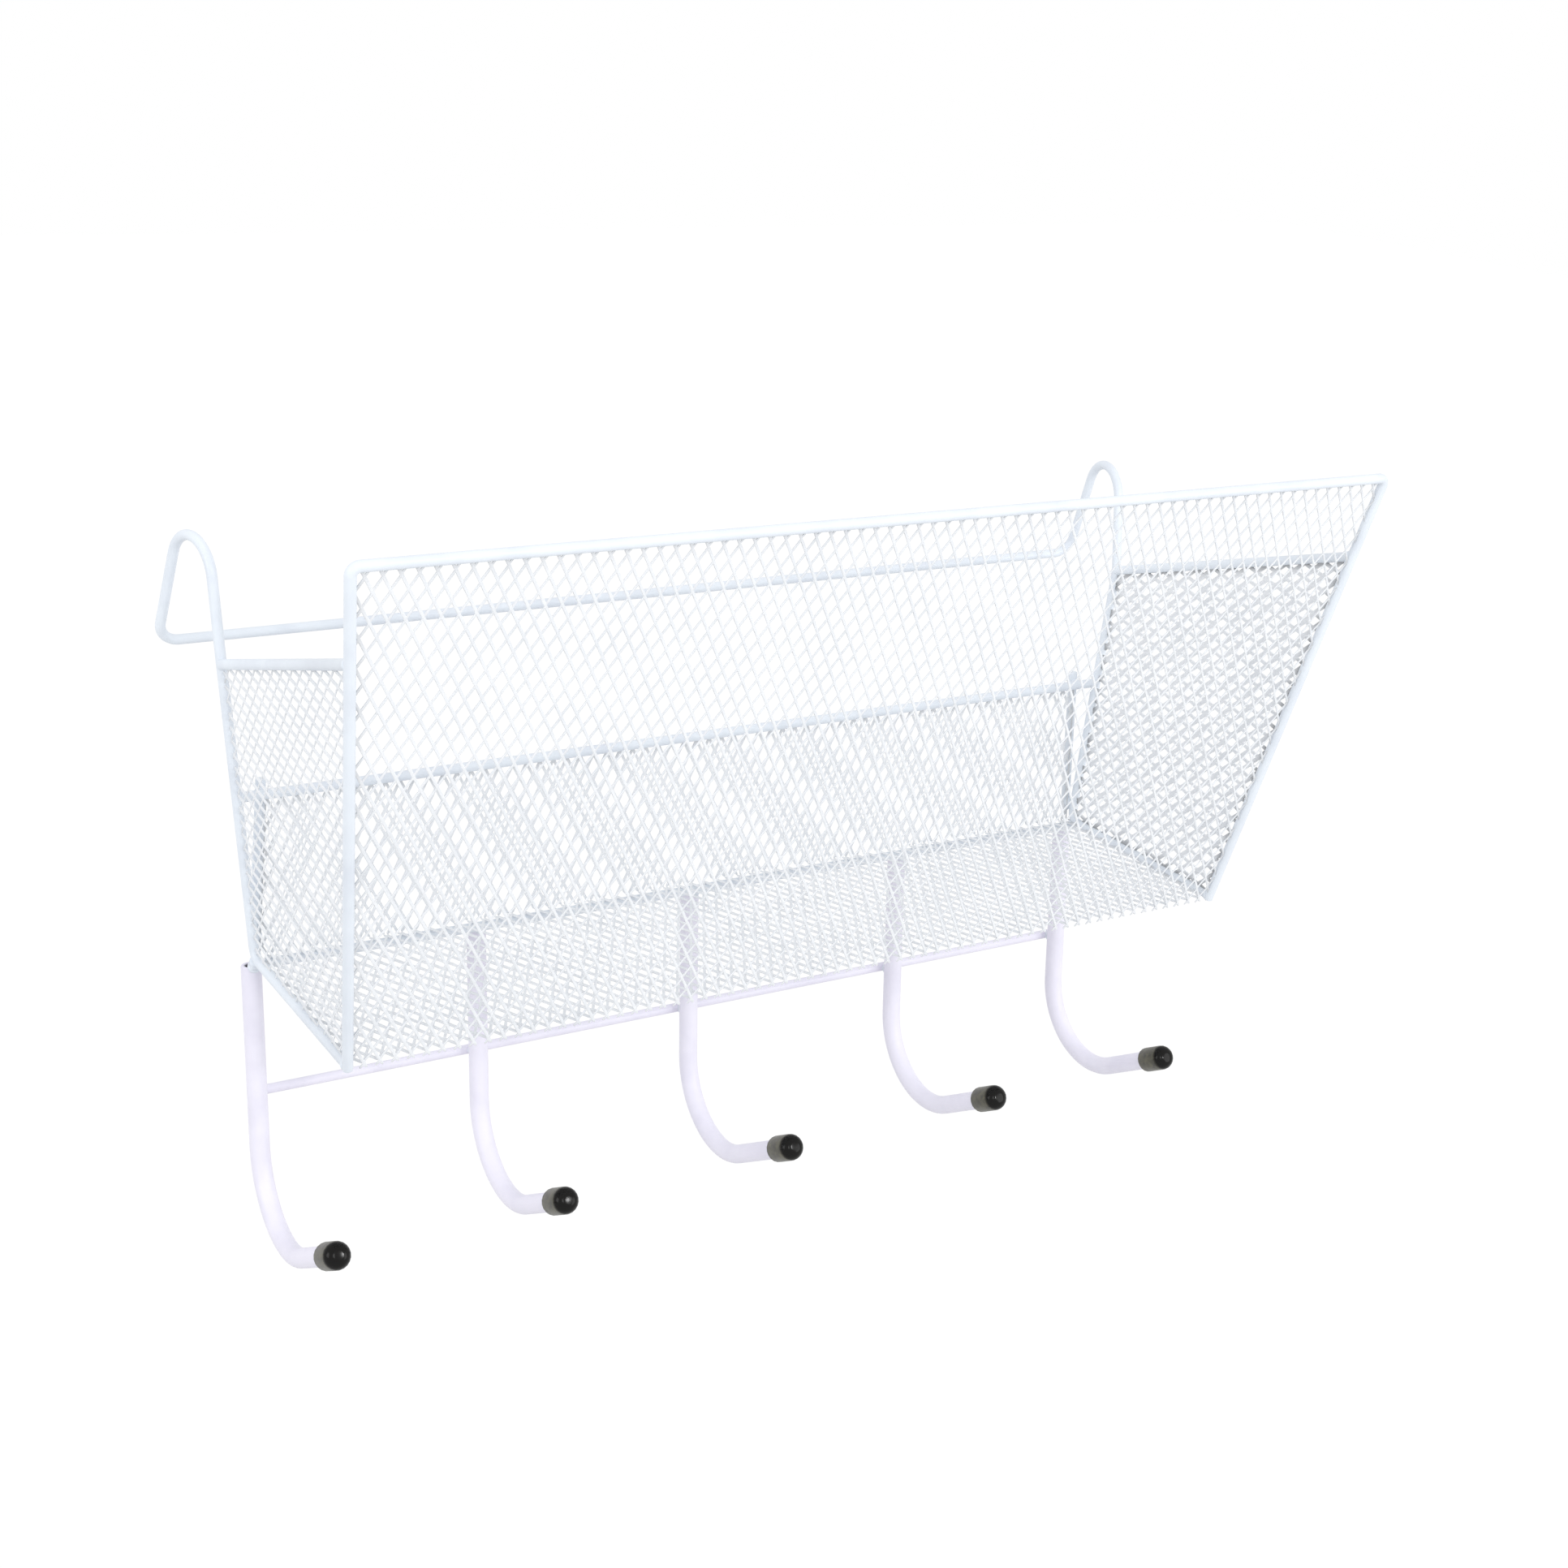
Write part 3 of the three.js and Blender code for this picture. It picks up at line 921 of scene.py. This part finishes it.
@dataclass
class MeshWalls:
    """The five panels of expanded metal."""

    layout: BasketLayout
    coat: PowderCoat
    wires: WireFrame
    front_sheet: ExpandedSheet = ExpandedSheet(strand=1.12)
    inner_sheet: ExpandedSheet = ExpandedSheet(gauge=0.5, louvre=math.radians(7))
    # The grey marks along the wires differ per panel: faint on the left end and heaviest on the right end,
    # where they are mostly painted shade on the inside of that end.
    left_sheet: ExpandedSheet = ExpandedSheet(
        strand=0.95, gauge=0.5, louvre=math.radians(7), thin_film_and_shade_share=0.15
    )
    right_sheet: ExpandedSheet = ExpandedSheet(strand=1.55, gauge=1.0, thin_film_and_shade_share=0.8)
    bite: float = 1.0  # from a wire's axis to the panel's edge, which is melted into the wire
    back_plane: float = 1.4
    front_hem: float = 2.5  # the front's edge hangs a little below the floor

    def inset(self, corners: list[Vector], margins: list[float]) -> list[Vector]:
        """Move each edge of a flat outline inwards.

        Args:
            corners: Outline, anticlockwise.
            margins: Way in for the edge after each corner.

        Returns:
            The new corners.
        """
        lines = []
        for (start, end), margin in zip(sides(corners), margins):
            shift = inward(start, end) * margin
            lines.append((start + shift, end + shift))
        pairs = zip([lines[-1], *lines[:-1]], lines)
        return [geometry.intersect_line_line(*last, *line)[0] for last, line in pairs]

    def trapezium(self, low_half: float, high_half: float, bottom: float, top: float) -> list[Vector]:
        """Give the outline of an even panel from its half widths and the heights of its two edges."""
        corners = [(-low_half, bottom), (low_half, bottom), (high_half, top), (-high_half, top)]
        return [Vector((*corner, 0)) for corner in corners]

    def front(self) -> BMesh:
        """Cut the sloping front, whose lower edge is the fold into the floor.

        Returns:
            The panel in its place.
        """
        plan = self.layout
        low = plan.floor_width / 2
        corners = self.trapezium(low, low + plan.top_flare, -self.front_hem, plan.front_slope)
        outline = self.inset(corners, [0, self.bite, self.bite, self.bite])
        mesh = self.front_sheet.cut(outline, Vector(), Tip.LEFT_EDGE_UP, folds=(0,))
        slope = Matrix.Rotation(QUARTER_TURN + plan.front_lean, 4, "X")
        return moved(mesh, Matrix.Translation(-BACKWARD * plan.floor_depth) @ slope)

    def floor(self) -> BMesh:
        """Cut the floor, from the front fold to the back fold.

        Returns:
            The panel in its place.
        """
        deep = self.layout.floor_depth
        half = self.layout.floor_width / 2 - self.bite
        outline = self.trapezium(half, half, -deep, self.back_plane)
        return self.inner_sheet.cut(outline, -BACKWARD * deep, Tip.RIGHT_EDGE_UP, folds=(0, 2))

    def back(self) -> BMesh:
        """Cut the low back, which stands against the posts and the back rail.

        Returns:
            The panel in its place.
        """
        plan = self.layout
        top = plan.back_height - self.bite
        low_half, high_half = (self.wires.on_post(Side.RIGHT, z).x - self.bite for z in (0, top))
        outline = self.trapezium(low_half, high_half, 0, top)
        phase = -BACKWARD * ((plan.floor_depth + self.back_plane) % self.inner_sheet.long_way)
        mesh = self.inner_sheet.cut(outline, phase, Tip.RIGHT_EDGE_UP, folds=(0,))
        upright = Matrix.Rotation(QUARTER_TURN, 4, "X")
        return moved(mesh, Matrix.Translation(BACKWARD * self.back_plane) @ upright)

    def end(self, side: Side) -> BMesh:
        """Cut the panel in the flared plane of one end, with its diamonds lying along the end rail.

        Args:
            side: End of the basket.

        Returns:
            The panel in its place.
        """
        plan = self.layout
        tilt = math.atan(plan.flare)
        post_top = plan.rail_end(side)
        rail_back = Vector((0, plan.end_back_height / math.cos(tilt), 0))
        rail_front = Vector((post_top.y, post_top.z / math.cos(tilt), 0))
        corners = [-ALONG * plan.floor_depth, Vector(), rail_back, rail_front]
        outline = self.inset(corners, [self.bite] * 4)
        along_rail = (rail_front - rail_back).to_2d().angle_signed(BACKWARD.to_2d())
        turn = Matrix.Rotation(-along_rail, 4, "Z")
        sheet = self.left_sheet if side is Side.LEFT else self.right_sheet
        mesh = sheet.cut([turn @ corner for corner in outline], Vector(), Tip(-side.value))
        upright = Matrix.Rotation(QUARTER_TURN, 4, "Z") @ Matrix.Rotation(QUARTER_TURN, 4, "X")
        lean_out = Matrix.Rotation(side.value * tilt, 4, "Y")
        to_end = Matrix.Translation(ALONG * side.value * plan.floor_width / 2)
        return moved(mesh, to_end @ lean_out @ upright @ turn.inverted())

    def build(self, bench: Bench) -> None:
        """Make every panel and put it down.

        Args:
            bench: Where the pieces go.
        """
        bench.put_down(self.front(), "expanded_metal_front", self.coat, "front_mesh")
        bench.put_down(self.floor(), "expanded_metal_floor", self.coat, "floor_mesh")
        bench.put_down(self.back(), "expanded_metal_back", self.coat, "back_mesh")
        for side in Side:
            word = side.name.lower()
            bench.put_down(self.end(side), f"expanded_metal_{word}_end", self.coat, f"{word}_end_mesh")


@dataclass
class HookRow:
    """Five bent tube hooks, their vinyl caps and the bar that ties the stems together."""

    layout: BasketLayout
    coat: PowderCoat
    vinyl: DippedVinyl
    end_inset: float = 1.5
    shares: tuple[float, ...] = (-0.004, 0.237, 0.49, 0.762, 1)  # places along the row, as welded by hand
    tail_lengths: tuple[float, ...] = (95.5, 92.3, 98.5, 92.3, 92.3)  # as bent by hand
    stem_tuck: float = 1.0
    stem_lean: float = math.radians(4.5)
    stem_length: float = 127.5
    tail_rise: float = math.radians(30.4)
    hook_bend: float = 32.0
    tie_drop: float = 56.0
    cap_wall: float = 1.2
    cap_grip: float = 12.0
    cap_end: float = 2.9
    cap_dome: float = 4.0
    cap_lip: float = 0.4
    dome_steps: int = 8
    dome_blend: int = 2  # steps of the dome over which the wall's finish turns into the dome's

    def across(self, share: float) -> float:
        """Give the x of the hook at this share of the row."""
        return (self.layout.floor_width - 2 * self.end_inset) * (share - 0.5)

    @property
    def stem_line(self) -> Vector:
        """Direction down every stem."""
        return Vector((0, -math.sin(self.stem_lean), -math.cos(self.stem_lean)))

    @property
    def stem_back(self) -> Vector:
        """Direction from the axis of every stem to its back."""
        return ALONG.cross(self.stem_line)

    @property
    def tail_line(self) -> Vector:
        """Direction out along every tail."""
        return Vector((0, -math.cos(self.tail_rise), math.sin(self.tail_rise)))

    def stem_top(self, share: float) -> Vector:
        """Give the centre of a stem's open end, which is tucked behind the back floor rail.

        Args:
            share: Place along the row.

        Returns:
            The point on the tube's axis.
        """
        plan = self.layout
        clear = plan.wire / 2 + plan.seam
        height = plan.rail_height - math.sqrt(clear**2 - self.stem_tuck**2)
        return Vector((self.across(share), self.stem_tuck + plan.tube / 2, height))

    def route(self, share: float, tail_length: float) -> list[Vector]:
        """Lay out one hook.

        Args:
            share: Place along the row.
            tail_length: Way from the sharp corner to the tip.

        Returns:
            The top, the sharp corner and the tip.
        """
        top = self.stem_top(share)
        corner = top + self.stem_line * self.stem_length
        return [top, corner, corner + self.tail_line * tail_length]

    def hook(self, route: list[Vector]) -> BMesh:
        """Bend one hook from tube."""
        rod = BentRod(self.layout.tube, route, [self.hook_bend])
        return rod.finished(WireEnd.MOUTH, WireEnd.CUT, self.layout.tube_wall)

    def cap(self, tip: Vector) -> BMesh:
        """Mould one cap over a hook's tip: a rolled lip, a straight wall and a domed end.

        Args:
            tip: End of the tube's axis.

        Returns:
            The cap, marked where it is domed.
        """
        out = self.tail_line
        bore = self.layout.tube / 2
        full = bore + self.layout.seam + self.cap_wall
        mouth = tip - out * self.cap_grip
        rod = BentRod(2 * bore, [mouth + out * self.cap_lip * 2, mouth + out * self.cap_lip], [])
        dome = rod.mesh.verts.layers.float.new(self.vinyl.dome_mark)
        rim, radius = rod.far, bore
        for step in range(1, self.dome_steps + 1):
            angle, last = (math.pi * s / self.dome_steps for s in (step, step - 1))
            wider = bore + (full - bore) * (1 - math.cos(angle)) / 2
            back = math.sin(angle) - math.sin(last)
            rim = rod.extend(rim, -out * self.cap_lip * back, wider / radius)
            radius = wider
        rim = rod.extend(rim, out * (self.cap_grip + self.cap_end - self.cap_lip - self.cap_dome))
        for step in range(1, self.dome_steps + 1):
            angle, last = (QUARTER_TURN * s / self.dome_steps for s in (step, step - 1))
            narrower = full - self.cap_dome * (1 - math.cos(angle))
            rise = math.sin(angle) - math.sin(last)
            rim = rod.extend(rim, out * self.cap_dome * rise, narrower / radius)
            radius = narrower
            for vert in rim_verts(rim):
                vert[dome] = min(1.0, step / self.dome_blend)
        for open_rim in (rod.near, rim):
            bmesh.ops.edgeloop_fill(rod.mesh, edges=open_rim)
        soften(rod.mesh)
        return rod.mesh

    def tie_bar(self) -> BMesh:
        """Cut the bar that runs behind the stems.

        Returns:
            Its mesh.
        """
        plan = self.layout
        behind = self.stem_back * (plan.tube / 2 + plan.wire / 2 + plan.seam)
        middle = self.stem_top(0.5) + self.stem_line * self.tie_drop + behind
        half = ALONG * (self.across(1) + plan.wire / 2)
        return BentRod.straight(plan.wire, middle - half, middle + half)

    def build(self, bench: Bench) -> None:
        """Make the hooks, caps and bar and put them down.

        Args:
            bench: Where the pieces go.
        """
        for number, (share, tail_length) in enumerate(zip(self.shares, self.tail_lengths), 1):
            route = self.route(share, tail_length)
            bench.put_down(self.hook(route), f"bent_tube_hook_{number}", self.coat, f"hook_{number}")
            bench.put_down(self.cap(route[-1]), f"vinyl_cap_{number}", self.vinyl, f"hook_cap_{number}")
        bench.put_down(self.tie_bar(), "coated_tie_bar", self.coat, "hook_tie_bar")


@dataclass
class WeldFlash:
    """The lens of melted steel where two wires cross, smoothed over by the coat."""

    layout: BasketLayout
    coat: PowderCoat
    wires: WireFrame
    hooks: HookRow
    spread: float = 2.4
    swell: float = 1.1
    lump: float = 0.22
    lump_rate: float = 0.6  # lumps in a millimetre
    subdivisions: int = 3
    wire_size: float = 1.0
    stem_size: float = 1.1
    tie_size: float = 1.25

    def joints(self) -> list[tuple[Vector, Vector, float]]:
        """List the welded joints.

        Returns:
            The place of each joint, the direction between its two wires and a size factor.
        """
        plan = self.layout
        row = self.hooks
        between = (plan.wire + plan.seam) / 2
        found = []
        for side in Side:
            for height in (plan.wire * 2, plan.back_height):
                lap = self.wires.on_post(side, height) - BACKWARD * between
                found.append((lap, BACKWARD, self.wire_size))
            reach = plan.floor_bend + plan.wire / 2
            bend = plan.on_end(side, -plan.floor_bend, plan.floor_bend)
            aim = (Vector((bend.x, 0, plan.rail_height)) - bend).normalized()
            found.append((bend + aim * reach, aim, self.wire_size))
        for share in row.shares:
            top = row.stem_top(share)
            tie = top + row.stem_line * row.tie_drop + row.stem_back * plan.tube / 2
            found.append((tie, row.stem_back, self.tie_size))
            rail = Vector((top.x, 0, plan.rail_height))
            aim = (rail - Vector((top.x, plan.wire / 2, top.z))).normalized()
            found.append((rail - aim * plan.wire / 2, aim, self.stem_size))
        return found

    def build(self, bench: Bench) -> None:
        """Make all the welds as one piece and put it down.

        Args:
            bench: Where the piece goes.
        """
        mesh = bmesh.new()
        for place, aim, size in self.joints():
            turn = aim.to_track_quat("Z", "X").to_matrix().to_4x4()
            shape = Matrix.Diagonal((self.spread * size, self.spread * size, self.swell * size, 1))
            lens = Matrix.Translation(place) @ turn @ shape
            made = bmesh.ops.create_icosphere(mesh, subdivisions=self.subdivisions, radius=1, matrix=lens)
            for vert in made["verts"]:
                outward = (vert.co - place).normalized()
                vert.co += outward * self.lump * noise.noise(vert.co * self.lump_rate)
        soften(mesh)
        bench.put_down(mesh, "weld_flash", self.coat)


@dataclass(frozen=True)
class Softbox:
    """A soft square lamp: its place and width in metres and its power in watts."""

    name: str
    place: tuple[float, float, float]
    width: float
    power: float


@dataclass
class Studio:
    """White floor, soft lamps and the camera of the photograph."""

    camera_mm: tuple[float, float, float] = (-462.1, -820.4, 222.5)
    view_line: tuple[float, float, float] = (0.4972, 0.7969, -0.3432)
    camera_roll: float = math.radians(3.6)
    lens_mm: float = 53.53
    sensor_mm: float = 36.0
    view_end: float = 50.0
    floor_drop: float = 0.16
    floor_half: float = 4.0
    floor_tone: str = "#D4D4D4"
    floor_glow: float = 1.08
    shadow_share: float = 0.12
    sky_level: float = 0.89
    sky_tone: str = "#FBFCFF"
    lamp_aim: tuple[float, float, float] = (0, -0.08, -0.1)
    lamps: tuple[Softbox, ...] = (
        Softbox("front_softbox", (-0.35, -1.65, 0.7), 0.45, 3),
        Softbox("glint_lamp", (0.55, -1.58, 0.56), 0.12, 4),
        Softbox("front_right_softbox", (1.2, -1.5, 0.2), 0.8, 5),
        Softbox("left_softbox", (-1.7, -0.4, 0.45), 0.8, 6),
    )

    def camera(self) -> None:
        """Set the camera at the photograph's viewpoint."""
        data = bpy.data.cameras.new("photo_camera")
        data.lens = self.lens_mm
        data.sensor_width = self.sensor_mm
        data.clip_end = self.view_end
        camera = add_object("photo_camera", data)
        level = Vector(self.view_line).to_track_quat("-Z", "Y")
        turn = level @ Quaternion(UP, self.camera_roll)
        camera.matrix_world = Matrix.Translation(Vector(self.camera_mm) * MM) @ turn.to_matrix().to_4x4()
        bpy.context.scene.camera = camera

    def seen_directly(self, tree: bpy.types.NodeTree) -> bpy.types.NodeSocket:
        """Tell rays that show a surface from those that only light something.

        Args:
            tree: Node tree that asks.

        Returns:
            A socket that is 1 for camera, glossy and transmission rays and 0 for the rest.
        """
        path = add_node(tree, "ShaderNodeLightPath")
        seen = path.outputs["Is Camera Ray"]
        for ray in ("Is Glossy Ray", "Is Transmission Ray"):
            either = add_node(tree, "ShaderNodeMath", {0: seen, 1: path.outputs[ray]}, operation="MAXIMUM")
            seen = either.outputs[0]
        return seen

    def floor(self, lowest: float) -> None:
        """Lay a pale floor that shows white to the camera and keeps a faint shadow.

        Args:
            lowest: Height of the basket's lowest point.
        """
        paper = new_material("matt_white_paper_roll")
        tree = paper.node_tree
        seen = self.seen_directly(tree)
        matt = add_node(tree, "ShaderNodeBsdfDiffuse", {"Color": linear(self.floor_tone)})
        glow = add_node(tree, "ShaderNodeEmission", {"Color": linear(WHITE), "Strength": self.floor_glow})
        share = add_node(tree, "ShaderNodeMath", {0: seen, 1: 1 - self.shadow_share}, operation="MULTIPLY")
        both = add_node(
            tree, "ShaderNodeMixShader", {0: share.outputs[0], 1: matt.outputs[0], 2: glow.outputs[0]}
        )
        add_node(tree, "ShaderNodeOutputMaterial", {"Surface": both.outputs[0]})
        mesh = bmesh.new()
        bmesh.ops.create_grid(mesh, x_segments=1, y_segments=1, size=self.floor_half)
        bmesh.ops.translate(mesh, verts=mesh.verts[:], vec=UP * (lowest - self.floor_drop))
        mesh_object(mesh, "studio_floor", paper)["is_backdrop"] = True

    def sky(self) -> None:
        """Fill the surroundings with even light that shows white."""
        world = bpy.data.worlds.new("studio_surroundings")
        world.use_nodes = True
        tree = world.node_tree
        tree.nodes.clear()
        light = add_node(
            tree, "ShaderNodeBackground", {"Color": linear(self.sky_tone), "Strength": self.sky_level}
        )
        backdrop = add_node(tree, "ShaderNodeBackground", {"Color": linear(WHITE), "Strength": 1.0})
        both = add_node(
            tree, "ShaderNodeMixShader",
            {0: self.seen_directly(tree), 1: light.outputs[0], 2: backdrop.outputs[0]},
        )
        add_node(tree, "ShaderNodeOutputWorld", {"Surface": both.outputs[0]})
        bpy.context.scene.world = world

    def hang(self, softbox: Softbox) -> None:
        """Hang one lamp so that it faces the basket.

        Args:
            softbox: The lamp.
        """
        data = bpy.data.lights.new(softbox.name, "AREA")
        data.size = softbox.width
        data.energy = softbox.power
        spot = Vector(softbox.place)
        turn = (Vector(self.lamp_aim) - spot).to_track_quat("-Z", "Y")
        lamp = add_object(softbox.name, data)
        lamp.matrix_world = Matrix.Translation(spot) @ turn.to_matrix().to_4x4()

    def build(self, lowest: float) -> None:
        """Set up the whole studio above and around the basket.

        Args:
            lowest: Height of the basket's lowest point.
        """
        self.camera()
        self.floor(lowest)
        self.sky()
        for softbox in self.lamps:
            self.hang(softbox)


def main() -> None:
    """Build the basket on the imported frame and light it."""
    logging.basicConfig(level=logging.INFO, format="%(name)s: %(message)s")
    low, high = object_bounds()
    scene = bpy.context.scene
    scene.view_settings.view_transform = "Standard"
    layout = BasketLayout()
    # The film is a cool white on the wires, whiter on the thin sheet, and slightly lavender on the tubes.
    wire_coat = PowderCoat("white_powder_coat_baked_on_wire", "#EAF0F6", "#E0E6EE")
    sheet_coat = PowderCoat("white_powder_coat_baked_on_slit_sheet", "#F2F4F6", "#E9ECEF")
    tube_coat = PowderCoat("white_powder_coat_baked_on_tube", "#F0EDF8", "#E6E3F0")
    vinyl = DippedVinyl()
    bench = Bench(layout.place())
    wires = WireFrame(layout, wire_coat)
    wires.build(bench)
    MeshWalls(layout, sheet_coat, wires).build(bench)
    hooks = HookRow(layout, tube_coat, vinyl)
    hooks.build(bench)
    WeldFlash(layout, wire_coat, wires, hooks).build(bench)
    Studio().build(low.z)
    low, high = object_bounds()


if __name__ == "__main__":
    main()
